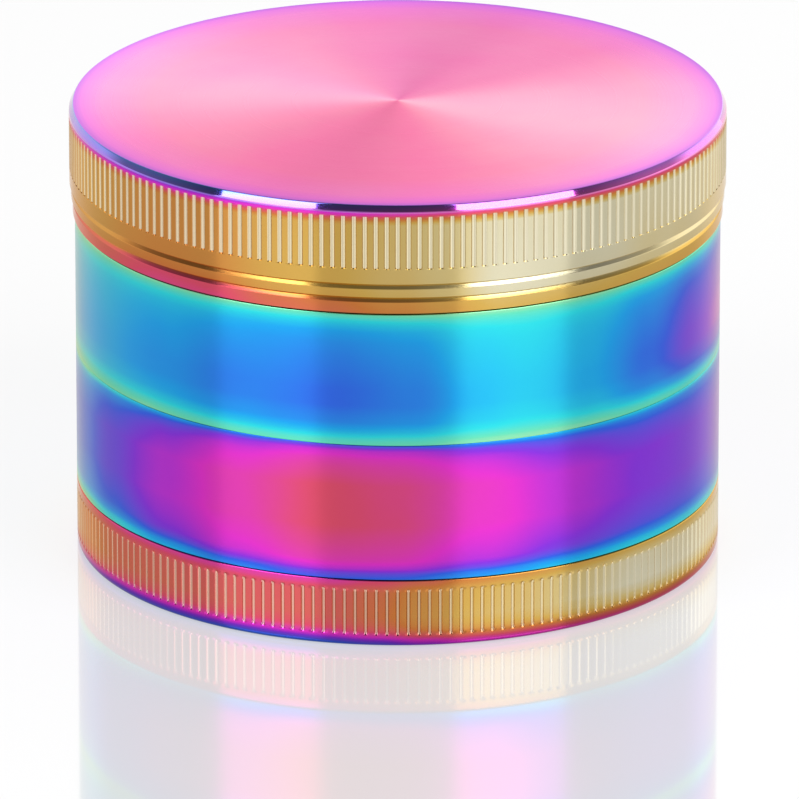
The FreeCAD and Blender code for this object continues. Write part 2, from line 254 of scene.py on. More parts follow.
def lathe(name, rows, closed=True):
    """Mesh of revolution from (radius, height[, flute width, depth]) rows, up the outside first."""
    verts, faces, rings = [], [], []
    for row in rows:
        radius, height = row[0], row[1]
        if radius < 1e-6:
            verts.append((0, 0, height * MM))
            rings.append([len(verts) - 1])
            continue
        width, depth = row[2:] or (0, 0)
        ring = []
        for angle, share in row_angles(radius, width):
            reach = (radius - depth * share) * MM
            verts.append((reach * math.cos(angle), reach * math.sin(angle), height * MM))
            ring.append(len(verts) - 1)
        rings.append(ring)
    pairs = list(zip(rings, rings[1:]))
    if closed:
        pairs.append((rings[-1], rings[0]))
    for lower, upper in pairs:
        coarse = min(len(lower), len(upper))
        if coarse == 1:
            ring = lower if len(lower) > 1 else upper
            pole = (upper if len(lower) > 1 else lower)[0]
            for index, corner in enumerate(ring):
                after = ring[(index + 1) % len(ring)]
                faces.append((corner, after, pole) if len(lower) > 1 else (after, corner, pole))
            continue
        low_step, high_step = len(lower) // coarse, len(upper) // coarse
        for index in range(coarse):
            bottom = [lower[(index * low_step + k) % len(lower)] for k in range(low_step + 1)]
            top = [upper[(index * high_step + k) % len(upper)] for k in range(high_step + 1)]
            faces.append(tuple(bottom + top[::-1]))
    return new_piece(name, verts, faces)


def thread(name, wall_radius, crest_radius, low, high, start):
    """Right-hand helical ridge on a wall, with its root sunk in it and its ends running out into it."""
    sunk = THREAD_SUNK if crest_radius < wall_radius else -THREAD_SUNK
    root = wall_radius + sunk
    turns = (high - low) / THREAD_PITCH
    count = int(turns * THREAD_STEPS_PER_TURN)
    verts, faces = [], []
    for index in range(count + 1):
        turn = turns * index / count
        ends = min(turn, turns - turn) / THREAD_RUNOUT_TURNS
        rise = math.sin(min(1.0, ends) * math.pi / 2)
        crest = wall_radius + (crest_radius - wall_radius) * rise + sunk * (1 - rise) * THREAD_END_SHARE
        angle = 2 * math.pi * turn + start
        middle = low + THREAD_PITCH * turn
        for radius, height in ((root, -THREAD_ROOT_HALF), (crest, -THREAD_CREST_HALF),
                               (crest, THREAD_CREST_HALF), (root, THREAD_ROOT_HALF)):
            point = (radius * math.cos(angle), radius * math.sin(angle), middle + height)
            verts.append(tuple(value * MM for value in point))
    for index in range(count):
        for side in range(4):
            a, b = 4 * index + side, 4 * index + (side + 1) % 4
            faces.append((a, b, b + 4, a + 4))
    faces.append((3, 2, 1, 0))
    last = 4 * count
    faces.append((last, last + 1, last + 2, last + 3))
    if crest_radius > wall_radius:
        faces = [face[::-1] for face in faces]
    return new_piece(name, verts, faces)


def woven_disc(name, radius, middle):
    """Plain-weave wire cloth, cut to a disc."""
    verts, faces = [], []
    reach = int(radius / WIRE_PITCH)
    for along in (0, 1):
        for lane in range(-reach, reach + 1):
            offset = lane * WIRE_PITCH
            half = math.sqrt(max(0.0, radius ** 2 - offset ** 2))
            steps = int(half / (WIRE_PITCH / 2))
            if steps < 2:
                continue
            first = len(verts)
            sign = 1 if along == 0 else -1
            for step in range(-steps, steps + 1):
                place = step * WIRE_PITCH / 2
                lift = sign * WIRE_RADIUS * math.cos(math.pi * place / WIRE_PITCH + math.pi * lane)
                for side in range(WIRE_SIDES):
                    turn = 2 * math.pi * side / WIRE_SIDES
                    across = offset + WIRE_RADIUS * math.cos(turn)
                    height = middle + lift + WIRE_RADIUS * math.sin(turn)
                    point = (place, across, height) if along == 0 else (across, place, height)
                    verts.append(tuple(value * MM for value in point))
            rings = 2 * steps + 1
            for ring in range(rings - 1):
                for side in range(WIRE_SIDES):
                    a = first + ring * WIRE_SIDES + side
                    b = first + ring * WIRE_SIDES + (side + 1) % WIRE_SIDES
                    quad = (a, b, b + WIRE_SIDES, a + WIRE_SIDES)
                    faces.append(quad if along == 1 else quad[::-1])
            cap = tuple(range(first, first + WIRE_SIDES))
            end = tuple(range(first + (rings - 1) * WIRE_SIDES, first + rings * WIRE_SIDES))
            faces.append(cap[::-1] if along == 1 else cap)
            faces.append(end if along == 1 else end[::-1])
    return new_piece(name, verts, faces, smooth_angle=60.0)


# Node helpers

def linear(red, green, blue):
    """Scene-linear colour of an 8-bit display colour."""
    values = []
    for value in (red, green, blue):
        share = value / 255
        values.append(share / 12.92 if share <= 0.04045 else ((share + 0.055) / 1.055) ** 2.4)
    return (*values, 1.0)


class Nodes:
    """Adds and wires the nodes of one tree."""

    def __init__(self, tree):
        self.tree = tree
        tree.nodes.clear()

    def add(self, kind, **settings):
        node = self.tree.nodes.new(kind)
        for key, value in settings.items():
            setattr(node, key, value)
        return node

    def link(self, source, target):
        self.tree.links.new(source, target)

    def feed(self, value, target):
        """Link a socket to an input, or set a plain value on it."""
        if hasattr(value, "is_linked"):
            self.link(value, target)
        else:
            target.default_value = value

    def math(self, operation, *values, clamp=False):
        node = self.add("ShaderNodeMath", operation=operation, use_clamp=clamp)
        for value, target in zip(values, node.inputs):
            self.feed(value, target)
        return node.outputs[0]

    def span(self, value, low, high, to_low=0.0, to_high=1.0, interpolation="LINEAR"):
        """Value that goes from to_low to to_high while another goes from low to high."""
        node = self.add("ShaderNodeMapRange", interpolation_type=interpolation)
        node.inputs["From Min"].default_value = low
        node.inputs["From Max"].default_value = high
        node.inputs["To Min"].default_value = to_low
        node.inputs["To Max"].default_value = to_high
        self.link(value, node.inputs["Value"])
        return node.outputs["Result"]


class Graph(Nodes):
    """Nodes of one material round a Principled shader."""

    def __init__(self, name):
        self.material = bpy.data.materials.new(name)
        self.material.use_nodes = True
        super().__init__(self.material.node_tree)
        self.shader = self.add("ShaderNodeBsdfPrincipled")
        self.surface = self.add("ShaderNodeOutputMaterial").inputs["Surface"]
        self.link(self.shader.outputs["BSDF"], self.surface)

    def set(self, name, value):
        self.feed(value, self.shader.inputs[name])

    def position(self):
        """Point, z and radius in millimetres, and the turn about Z from 0 to 1, with the front at 0.5."""
        coordinates = self.add("ShaderNodeTexCoord")
        scaled = self.add("ShaderNodeVectorMath", operation="SCALE")
        scaled.inputs["Scale"].default_value = 1 / MM
        self.link(coordinates.outputs["Object"], scaled.inputs[0])
        self.point = scaled.outputs[0]
        split = self.add("ShaderNodeSeparateXYZ")
        self.link(self.point, split.inputs[0])
        x, y, self.z = split.outputs
        flat = self.add("ShaderNodeCombineXYZ")
        self.link(x, flat.inputs[0])
        self.link(y, flat.inputs[1])
        length = self.add("ShaderNodeVectorMath", operation="LENGTH")
        self.link(flat.outputs[0], length.inputs[0])
        self.radius = length.outputs["Value"]
        angle = self.math("ARCTAN2", x, self.math("MULTIPLY", y, -1.0))
        self.turn = self.math("MULTIPLY_ADD", angle, 0.5 / math.pi, 0.5)

    def ramp(self, value, stops, interpolation="LINEAR"):
        """Colour ramp through (place, colour) stops; a plain number stands for a grey."""
        node = self.add("ShaderNodeValToRGB")
        node.color_ramp.interpolation = interpolation
        elements = node.color_ramp.elements
        while len(elements) < len(stops):
            elements.new(0.5)
        for element, (place, colour) in zip(elements, stops):
            element.position = place
            grey = not isinstance(colour, tuple)
            element.color = (colour, colour, colour, 1.0) if grey else linear(*colour)
        self.link(value, node.inputs[0])
        return node.outputs[0]

    def around(self, pairs, interpolation="EASE"):
        """Ramp around the piece through (degrees from the front, value) pairs, right side positive."""
        stops = [(0.5 + degrees / 360, value) for degrees, value in pairs]
        return self.ramp(self.turn, stops, interpolation)

    def noise(self, scale, detail, stretch=None):
        node = self.add("ShaderNodeTexNoise")
        node.inputs["Scale"].default_value = scale
        node.inputs["Detail"].default_value = detail
        source = self.point
        if stretch:
            scaled = self.add("ShaderNodeVectorMath", operation="MULTIPLY")
            scaled.inputs[1].default_value = stretch
            self.link(source, scaled.inputs[0])
            source = scaled.outputs[0]
        self.link(source, node.inputs["Vector"])
        return node.outputs["Fac"]

    def sway(self, value, noise, amount, clamp=False):
        """A value made to drift up and down by a noise."""
        return self.math("MULTIPLY_ADD", self.math("SUBTRACT", noise, 0.5), amount, value, clamp=clamp)

    def blend(self, share, first, second, blend_type="MIX"):
        """Colour that goes from the first, a socket, to the second by a share."""
        node = self.add("ShaderNodeMix", data_type="RGBA", blend_type=blend_type)
        factor, first_colour, second_colour = node.inputs[0], node.inputs[6], node.inputs[7]
        self.link(share, factor)
        self.link(first, first_colour)
        self.feed(second, second_colour)
        return node.outputs[2]

    def bump(self, height, strength):
        node = self.add("ShaderNodeBump")
        node.inputs["Strength"].default_value = strength
        node.inputs["Distance"].default_value = BUMP_DEPTH
        self.link(height, node.inputs["Height"])
        self.link(node.outputs["Normal"], self.shader.inputs["Normal"])


# Film on the outer walls

# Depth of the grain, in metres
BUMP_DEPTH = 0.00001

# Colours of the oxide film as it grows thicker
FILM = [
    (0.00, (236, 227, 198)),
    (0.035, (213, 206, 176)),
    (0.07, (209, 188, 128)),
    (0.13, (206, 168, 84)),
    (0.24, (204, 122, 62)),
    (0.36, (220, 80, 108)),
    (0.47, (226, 54, 202)),
    (0.57, (138, 56, 222)),
    (0.67, (56, 98, 231)),
    (0.78, (37, 166, 238)),
    (0.88, (50, 218, 226)),
    (0.95, (104, 222, 186)),
    (1.00, (176, 226, 160)),
]
# The thinnest film; in the flutes it also serves as a painted highlight
BARE_METAL_AND_HIGHLIGHT = linear(*FILM[0][1])
BLACK = (0.0, 0.0, 0.0, 1.0)

# The film reflects less than bare metal at grazing angles
EDGE_TINT = (0.92, 0.80, 0.68, 1.0)

# Slow drift of the film's thickness, and the fine marks of turning, long around and short in height
DRIFT_SCALE = 0.09
DRIFT_AMOUNT = 0.04
MARKS_STRETCH = (0.6, 0.6, 9.0)
MARKS_SHARE = 0.4
MARKS_BUMP = 0.12
COAT_ROUGHNESS = 0.04

# A ramp holds values up to 1, so factors are stored divided by this
FACTOR_SCALE = 5.0

# Depths in a flute between which the film wears off and is painted paler, partly a painted highlight, and
# the length of the fade at its ends
HOLLOW_START = 0.02
HOLLOW_END = 0.1
FLUTE_FADE = 0.1

# Roughnesses
SATIN = 0.2
POLISHED = 0.14
RIM_POLISHED = 0.07


def film_material(name, around, low, high, factor=None, extra=None, pull=None, painted_shade=None, flutes=None,
                  roughness=SATIN, coat=None):
    """
    Filmed metal. The film's thickness runs around the piece through the pairs of around. With height, from
    low to high, it is scaled by factor, raised by extra and drawn towards 1 by pull, and shade darkens the
    colour there as a painted shade.
    In flutes (radius, low, high, share) that share of it is worn off and the hollows painted paler,
    partly a painted highlight. Coat is the IOR of a clear coat.
    """
    graph = Graph(name)
    graph.position()
    share = graph.span(graph.z, low, high)
    thickness = graph.around(around)
    if factor:
        scale = graph.ramp(share, [(place, value / FACTOR_SCALE) for place, value in factor])
        thickness = graph.math("MULTIPLY", thickness, graph.math("MULTIPLY", scale, FACTOR_SCALE))
    if extra:
        thickness = graph.math("ADD", thickness, graph.ramp(share, extra))
    if pull:
        rest = graph.math("SUBTRACT", 1.0, thickness)
        thickness = graph.math("MULTIPLY_ADD", graph.ramp(share, pull), rest, thickness)
    drift = graph.noise(DRIFT_SCALE, detail=2.0)
    thickness = graph.sway(thickness, drift, DRIFT_AMOUNT)
    colour = graph.ramp(thickness, FILM)
    # Worn film in the flutes, partly a painted highlight: the hollows are lightened towards the thinnest
    # film.
    if flutes:
        radius, bottom, top, wear_and_highlight = flutes
        hollow = graph.span(graph.radius, radius - HOLLOW_START, radius - HOLLOW_END)
        inside = graph.math("MULTIPLY", graph.span(graph.z, bottom, bottom + FLUTE_FADE),
                            graph.span(graph.z, top, top - FLUTE_FADE))
        bare_and_highlight = graph.math("MULTIPLY", graph.math("MULTIPLY", hollow, inside), wear_and_highlight)
        colour = graph.blend(bare_and_highlight, colour, BARE_METAL_AND_HIGHLIGHT)
    # Painted shade: the colour is darkened towards the bottom of the piece.
    if painted_shade:
        dark = graph.math("SUBTRACT", 1.0, graph.ramp(share, painted_shade))
        colour = graph.blend(dark, colour, BLACK)
    graph.set("Base Color", colour)
    graph.set("Metallic", 1.0)
    graph.set("Specular Tint", EDGE_TINT)
    marks = graph.noise(scale=1.0, detail=3.0, stretch=MARKS_STRETCH)
    graph.set("Roughness", graph.sway(roughness, marks, roughness * MARKS_SHARE))
    graph.bump(marks, MARKS_BUMP)
    if coat:
        graph.set("Coat Weight", 1.0)
        graph.set("Coat IOR", coat)
        graph.set("Coat Roughness", COAT_ROUGHNESS)
    return graph.material


# Pairs around are (degrees from the front, thickness); those with height are (share of the height, value)
TRAY_AROUND = [
    (-180, 0.74), (-130, 0.82), (-95, 0.83), (-78, 0.80), (-65, 0.80), (-45, 0.76), (-30, 0.71),
    (-10, 0.69), (3, 0.72), (14, 0.81), (24, 0.835), (36, 0.79), (50, 0.69), (65, 0.60), (85, 0.53),
    (110, 0.58), (145, 0.68), (180, 0.74),
]
TRAY_PULL = [
    (0.0, 0.84), (0.03, 0.78), (0.06, 0.64), (0.10, 0.40), (0.17, 0.14), (0.3, 0.0), (0.42, 0.0),
    (0.55, 0.05), (0.68, 0.11), (0.78, 0.18), (0.86, 0.29), (0.915, 0.47), (0.945, 0.61), (0.976, 0.8),
    (1.0, 0.9),
]
CHAMBER_AROUND = [
    (-180, 0.50), (-140, 0.60), (-100, 0.71), (-74, 0.69), (-62, 0.62), (-45, 0.515), (-30, 0.43),
    (-14, 0.36), (0, 0.38), (15, 0.45), (30, 0.52), (50, 0.575), (75, 0.60), (110, 0.56), (150, 0.48),
    (180, 0.50),
]
CHAMBER_EDGES = [
    (0.0, 0.31), (0.02, 0.28), (0.045, 0.245), (0.06, 0.20), (0.08, 0.15), (0.11, 0.105), (0.14, 0.07),
    (0.19, 0.05), (0.26, 0.03), (0.4, 0.0), (0.7, 0.0), (0.8, 0.03), (0.845, 0.045), (0.9, 0.075),
    (0.937, 0.115), (0.955, 0.13), (0.97, 0.165), (0.985, 0.225), (1.0, 0.28),
]
LID_AROUND = [
    (-180, 0.05), (-120, 0.08), (-70, 0.09), (-45, 0.112), (-33, 0.108), (-22, 0.08), (-12, 0.075),
    (0, 0.054), (8, 0.036), (18, 0.018), (33, 0.02), (50, 0.026), (70, 0.026), (100, 0.03), (150, 0.05),
    (180, 0.05),
]
LID_HEIGHTS = [(0.0, 2.7), (0.13, 2.6), (0.15, 2.2), (0.28, 1.9), (0.5, 1.8), (1.0, 1.8)]
LID_EDGES = [
    (0.0, 0.08), (0.12, 0.06), (0.14, 0.0), (0.823, 0.0), (0.85, 0.05), (0.869, 0.12), (0.888, 0.19),
    (0.906, 0.27), (0.925, 0.33), (0.943, 0.39), (0.971, 0.45), (1.0, 0.5),
]
BASE_AROUND = [
    (-180, 0.10), (-130, 0.12), (-88, 0.15), (-72, 0.23), (-58, 0.29), (-20, 0.32), (-12, 0.31),
    (-4, 0.265), (5, 0.18), (12, 0.12), (20, 0.09), (33, 0.06), (50, 0.03), (80, 0.03), (130, 0.05),
    (180, 0.10),
]
BASE_EDGES = [
    (0.0, 0.41), (0.04, 0.37), (0.075, 0.32), (0.11, 0.26), (0.14, 0.2), (0.17, 0.15), (0.2, 0.11),
    (0.25, 0.06), (0.32, 0.025), (0.45, 0.0), (0.81, 0.01), (0.877, 0.04), (0.938, 0.08), (1.0, 0.11),
]
# Painted shade on the base, darkest at its foot, standing for the floor's contact shadow
BASE_PAINTED_SHADE = [(0.0, 0.55), (0.08, 0.62), (0.15, 0.8), (0.24, 1.0)]
# Shares of the flutes' film worn off, which also paints a highlight in them
LID_WEAR_AND_HIGHLIGHT = 0.72
BASE_WEAR_AND_HIGHLIGHT = 0.45
RIM_COAT_IOR = 2.2

tray_film = film_material("tray_film_blue", TRAY_AROUND, TRAY_BOTTOM, TRAY_SHOULDER, pull=TRAY_PULL)
chamber_film = film_material("chamber_film_magenta", CHAMBER_AROUND, CHAMBER_BOTTOM, CHAMBER_TOP,
                             extra=CHAMBER_EDGES)
lid_film = film_material("lid_film_gold", LID_AROUND, LID_BOTTOM, LID_TOP, factor=LID_HEIGHTS,
                         extra=LID_EDGES, flutes=(GRIP_RADIUS, *LID_FLUTES, LID_WEAR_AND_HIGHLIGHT), roughness=POLISHED)
lid_rim = film_material("lid_film_rim", LID_AROUND, LID_BOTTOM, LID_TOP, factor=LID_HEIGHTS,
                        extra=LID_EDGES, roughness=RIM_POLISHED, coat=RIM_COAT_IOR)
base_film = film_material("base_film_gold", BASE_AROUND, 0.0, BASE_TOP, extra=BASE_EDGES, painted_shade=BASE_PAINTED_SHADE,
                          flutes=(BODY_RADIUS, *BASE_FLUTES, BASE_WEAR_AND_HIGHLIGHT), roughness=POLISHED)


# The lid's spun top

# Deeper and paler pink from the middle to the rim; the paler one, shown in sectors around the top, is a
# painted sheen of the spun finish
TOP_DEEP = [
    (0.0, (253, 106, 164)), (0.75, (253, 106, 168)), (0.9, (250, 102, 190)), (0.96, (236, 90, 210)),
    (1.0, (160, 60, 210)),
]
TOP_SHEEN_PINK = [
    (0.0, (253, 152, 176)), (0.75, (253, 154, 180)), (0.9, (250, 146, 196)), (0.96, (238, 120, 206)),
    (1.0, (170, 66, 212)),
]
# Painted sheen: how much of the paler pink shows around the top, most in the sectors that catch the light
TOP_PAINTED_SHEEN = [
    (-180, 0.16), (-140, 0.45), (-100, 0.7), (-60, 0.3), (-25, 0.0), (5, 0.08), (35, 0.6), (65, 0.95),
    (95, 0.8), (130, 0.25), (155, 0.05), (180, 0.16),
]
CLOUD_SCALE = 0.09
CLOUD_AMOUNT = 0.7

# The far side is cooler
TOP_COOLNESS = [(-180, 1.0), (-120, 0.5), (-70, 0.1), (0, 0.0), (70, 0.1), (120, 0.6), (180, 1.0)]
COOL_TINT = (1.0, 1.2, 1.32, 1.0)

# Fine rings of the spun finish
RINGS_SCALE = 9.0
RINGS_DETAIL = 4.0
RINGS_BUMP = 0.15
SPUN_ROUGHNESS = 0.3
SPUN_DRIFT = 0.12
SPUN_ANISOTROPY = 0.85
SPUN_ROTATION = 0.29


def spun_top_material():
    """Pink film on a spun finish whose fine rings stretch the gloss outwards, with a painted sheen of paler
    pink in sectors around the top.
    """
    graph = Graph("lid_top_spun")
    graph.position()
    reach = graph.span(graph.radius, 0.0, GRIP_RADIUS)
    deep = graph.ramp(reach, TOP_DEEP)
    sheen_pink = graph.ramp(reach, TOP_SHEEN_PINK)
    cloud = graph.noise(CLOUD_SCALE, detail=3.0)
    # Painted sheen in sectors around the top, made uneven by a random cloud
    share = graph.sway(graph.around(TOP_PAINTED_SHEEN), cloud, CLOUD_AMOUNT, clamp=True)
    cool = graph.around(TOP_COOLNESS, "LINEAR")
    pink = graph.blend(share, deep, sheen_pink)
    graph.set("Base Color", graph.blend(cool, pink, COOL_TINT, "MULTIPLY"))
    graph.set("Metallic", 1.0)
    rings = graph.add("ShaderNodeTexNoise", noise_dimensions="1D")
    rings.inputs["Scale"].default_value = RINGS_SCALE
    rings.inputs["Detail"].default_value = RINGS_DETAIL
    graph.link(graph.radius, rings.inputs["W"])
    graph.set("Roughness", graph.sway(SPUN_ROUGHNESS, rings.outputs["Fac"], SPUN_DRIFT))
    graph.set("Anisotropic", SPUN_ANISOTROPY)
    graph.set("Anisotropic Rotation", SPUN_ROTATION)
    tangent = graph.add("ShaderNodeTangent", direction_type="RADIAL", axis="Z")
    graph.set("Tangent", tangent.outputs[0])
    graph.bump(rings.outputs["Fac"], RINGS_BUMP)
    return graph.material


lid_top = spun_top_material()


# Inner faces and small pieces

# How the film's thickness swings around the inner faces, about a half
INSIDE_AROUND = [(-180, 0.46), (-90, 0.55), (0, 0.47), (90, 0.54), (180, 0.46)]
INSIDE_DRIFT_SCALE = 0.12
INSIDE_DRIFT_AMOUNT = 0.16
INSIDE_ROUGHNESS = 0.24
INSIDE_ROUGHNESS_DRIFT = 0.12
INSIDE_BUMP = 0.2


def inside_material(name, reach_stops):
    """Film on the inner faces that changes with radius, with the haze of a tumbled surface."""
    graph = Graph(name)
    graph.position()
    thickness = graph.ramp(graph.span(graph.radius, 0.0, BODY_RADIUS), reach_stops, "EASE")
    swing = graph.math("SUBTRACT", graph.around(INSIDE_AROUND), 0.5)
    thickness = graph.math("ADD", thickness, swing)
    drift = graph.noise(INSIDE_DRIFT_SCALE, detail=2.0)
    thickness = graph.sway(thickness, drift, INSIDE_DRIFT_AMOUNT)
    graph.set("Base Color", graph.ramp(thickness, FILM))
    graph.set("Metallic", 1.0)
    grain = graph.noise(scale=3.0, detail=4.0)
    graph.set("Roughness", graph.sway(INSIDE_ROUGHNESS, grain, INSIDE_ROUGHNESS_DRIFT))
    graph.bump(grain, INSIDE_BUMP)
    return graph.material


PLAIN_DARKER = 0.93
PLAIN_ROUGHNESS_DRIFT = 0.1
PLAIN_BUMP = 0.1


def plain_material(name, colour, roughness, metallic=1.0):
    """One colour with a faint grain."""
    graph = Graph(name)
    graph.position()
    grain = graph.noise(scale=2.0, detail=3.0)
    darker = tuple(value * PLAIN_DARKER for value in colour)
    graph.set("Base Color", graph.ramp(grain, [(0.3, darker), (0.7, colour)]))
    graph.set("Metallic", metallic)
    graph.set("Roughness", graph.sway(roughness, grain, PLAIN_ROUGHNESS_DRIFT))
    graph.bump(grain, PLAIN_BUMP)
    return graph.material


tray_inside = inside_material(
    "tray_film_inside", [(0.0, 0.40), (0.25, 0.52), (0.5, 0.64), (0.8, 0.74), (0.9, 0.82), (1.0, 0.9)])
chamber_inside = inside_material(
    "chamber_film_inside", [(0.0, 0.4), (0.78, 0.42), (0.88, 0.52), (0.95, 0.60), (1.0, 0.7)])
lid_inside = inside_material(
    "lid_film_inside", [(0.0, 0.12), (0.3, 0.18), (0.6, 0.26), (0.85, 0.36), (0.95, 0.46), (1.0, 0.5)])
base_inside = inside_material(
    "base_film_inside", [(0.0, 0.10), (0.4, 0.14), (0.7, 0.22), (0.85, 0.32), (0.95, 0.42), (1.0, 0.5)])

magnet_nickel = plain_material("magnet_nickel", (214, 211, 204), 0.16)
sieve_steel = plain_material("sieve_steel", (196, 197, 196), 0.3)
ring_steel = plain_material("ring_steel", (202, 203, 205), 0.26)
slip_polymer = plain_material("slip_polymer", (232, 231, 224), 0.45, metallic=0.0)


def dress(piece, *materials):
    """Give a piece its materials, one to each slot."""
    piece.data.materials.clear()
    for material in materials:
        piece.data.materials.append(material)


def paint(piece, choose):
    """Give each face the material slot that choose(radius, height) names for its middle, in millimetres."""
    for face in piece.data.polygons:
        x, y, z = face.center / MM
        face.material_index = choose(math.hypot(x, y), z)


def carry(piece, body, slot, *replaced):
    """Tie a piece to its body and hide the nodes that it replaces. The slot is not used."""
    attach(piece, body)
    if replaced:
        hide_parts(*replaced)


# The four turned pieces

# Margins, in millimetres, for telling the finishes of a turned piece apart
FLAT_MARGIN = 0.004
HEIGHT_MARGIN = 0.2
FLUTED_INSIDE_MARGIN = 0.1
PLAIN_INSIDE_MARGIN = 0.3

lid_under = rounded([
    (0, POCKET_ROOF), (POCKET_RADIUS, POCKET_ROOF), (POCKET_RADIUS, LID_POST_BOTTOM, 0.12),
    (POST_RADIUS, LID_POST_BOTTOM, 0.2), (POST_RADIUS, LID_UNDERSIDE, 0.3),
    (LID_CAVITY_RADIUS, LID_UNDERSIDE, 0.3), (LID_CAVITY_RADIUS, LID_LEDGE, 0.1),
    (LID_BORE, LID_LEDGE), (LID_BORE, LID_BOTTOM, 0.1),
    (LOWER_RING_RADIUS, LID_BOTTOM, 0.12), (LOWER_RING_RADIUS, LOWER_LINE - LINE_HEIGHT, 0.12),
    (LOWER_RING_RADIUS - LINE_DEPTH, LOWER_LINE, 0.02),
    (UPPER_RING_RADIUS, LOWER_LINE + LINE_STEP, 0.05), (UPPER_RING_RADIUS, UPPER_LINE - LINE_HEIGHT, 0.12),
    (UPPER_RING_RADIUS - LINE_DEPTH, UPPER_LINE, 0.02),
    (GRIP_RADIUS, UPPER_LINE + LINE_STEP, 0.05), (GRIP_RADIUS, LID_FLUTES[0] - LID_LAND_UNDER),
])
lid_over = rounded([
    (GRIP_RADIUS, LID_FLUTES[1] + LID_LAND_OVER), (GRIP_RADIUS, LID_TOP - FACET_HEIGHT, 0.3),
    (GRIP_RADIUS - FACET_WIDTH, LID_TOP, 0.15), (0, LID_TOP),
], steps=8, guard=0.03)
lid_grip = flute_rows(GRIP_RADIUS, *LID_FLUTES, LID_FLUTE_WIDTH, LID_RUNOUT)
lid = lathe("lid_shell", lid_under + lid_grip + lid_over, closed=False)
dress(lid, lid_film, lid_top, lid_inside, lid_rim)


def lid_finish(radius, height):
    """Slot 0 for the walls, 1 for the flat top, 2 for the inside and 3 for the facet."""
    if height > LID_TOP - FLAT_MARGIN:
        return 1
    if radius < LID_BORE + FLUTED_INSIDE_MARGIN and height < LID_UNDERSIDE + HEIGHT_MARGIN:
        return 2
    return 3 if height > LID_TOP - FACET_HEIGHT - HEIGHT_MARGIN else 0


paint(lid, lid_finish)
carry(lid, "lid", "lid_film", "lid")

base_under = rounded([(0, 0), (BODY_RADIUS, 0, 0.5), (BODY_RADIUS, BASE_FLUTES[0] - BASE_LAND_UNDER)])
base_over = rounded([
    (BODY_RADIUS, BASE_FLUTES[1] + BASE_LAND_OVER), (BODY_RADIUS, BASE_TOP, 0.12),
    (SPIGOT_RADIUS, BASE_TOP, 0.15), (SPIGOT_RADIUS, BASE_SPIGOT_TOP, 0.25),
    (SPIGOT_BORE, BASE_SPIGOT_TOP, 0.25), (SPIGOT_BORE, BASE_FLOOR, DISH_ROUNDING), (0, BASE_FLOOR),
])
base_grip = flute_rows(BODY_RADIUS, *BASE_FLUTES, BASE_FLUTE_WIDTH, BASE_RUNOUT)
base = lathe("base_shell", base_under + base_grip + base_over, closed=False)
dress(base, base_film, base_inside)


def base_finish(radius, height):
    """Slot 0 for the wall and the underside, 1 for the spigot and the dish."""
    return int(radius < SPIGOT_RADIUS + FLUTED_INSIDE_MARGIN and height > BASE_FLOOR / 2)


paint(base, base_finish)
carry(base, "base", "base_film", "base_cup")

chamber = lathe("chamber_shell", rounded([
    (SOCKET_RADIUS, CHAMBER_BOTTOM, 0.12), (BODY_RADIUS, CHAMBER_BOTTOM, 0.1),
    (BODY_RADIUS, CHAMBER_RIM, 0.05), (SOCKET_RADIUS, CHAMBER_RIM, 0.12),
    (SOCKET_RADIUS, UPPER_SOCKET_FLOOR, 0.15), (STORE_RADIUS, UPPER_SOCKET_FLOOR, 0.15),
    (STORE_RADIUS, FUNNEL_TOP, 0.3), (FLANGE_BORE, FLANGE_TOP, 0.2), (FLANGE_BORE, FLANGE_BOTTOM, 0.1),
    (SCREEN_SEAT_RADIUS, FLANGE_BOTTOM, 0.1), (SCREEN_SEAT_RADIUS, LOWER_SOCKET_ROOF, 0.1),
    (SOCKET_RADIUS, LOWER_SOCKET_ROOF, 0.15),
]))
dress(chamber, chamber_film, chamber_inside)
paint(chamber, lambda radius, height: int(radius < SOCKET_RADIUS + PLAIN_INSIDE_MARGIN))
carry(chamber, "chamber", "chamber_film", "screen_chamber")

tray = lathe("tray_shell", rounded([
    (SPIGOT_BORE, TRAY_SPIGOT_BOTTOM, 0.2), (SPIGOT_RADIUS, TRAY_SPIGOT_BOTTOM, 0.25),
    (SPIGOT_RADIUS, TRAY_BOTTOM, 0.15), (BODY_RADIUS, TRAY_BOTTOM, 0.05),
    (BODY_RADIUS, TRAY_SHOULDER, 0.12), (COLLAR_RADIUS, TRAY_SHOULDER, 0.15),
    (COLLAR_RADIUS, COLLAR_TOP, 0.3), (TRAY_CAVITY_RADIUS, COLLAR_TOP, 0.3),
    (TRAY_CAVITY_RADIUS, LEDGE_TOP, 0.05),
    (LEDGE_BORE, LEDGE_TOP, 0.05), (LEDGE_BORE, LEDGE_BOTTOM, 0.15), (SPIGOT_BORE, LEDGE_BOTTOM, 0.1),
]))
dress(tray, tray_film, tray_inside)
paint(tray, lambda radius, height: int(radius < SPIGOT_RADIUS + PLAIN_INSIDE_MARGIN))
carry(tray, "tray", "tray_film", "grinding_tray")


# Screw threads and the sieve

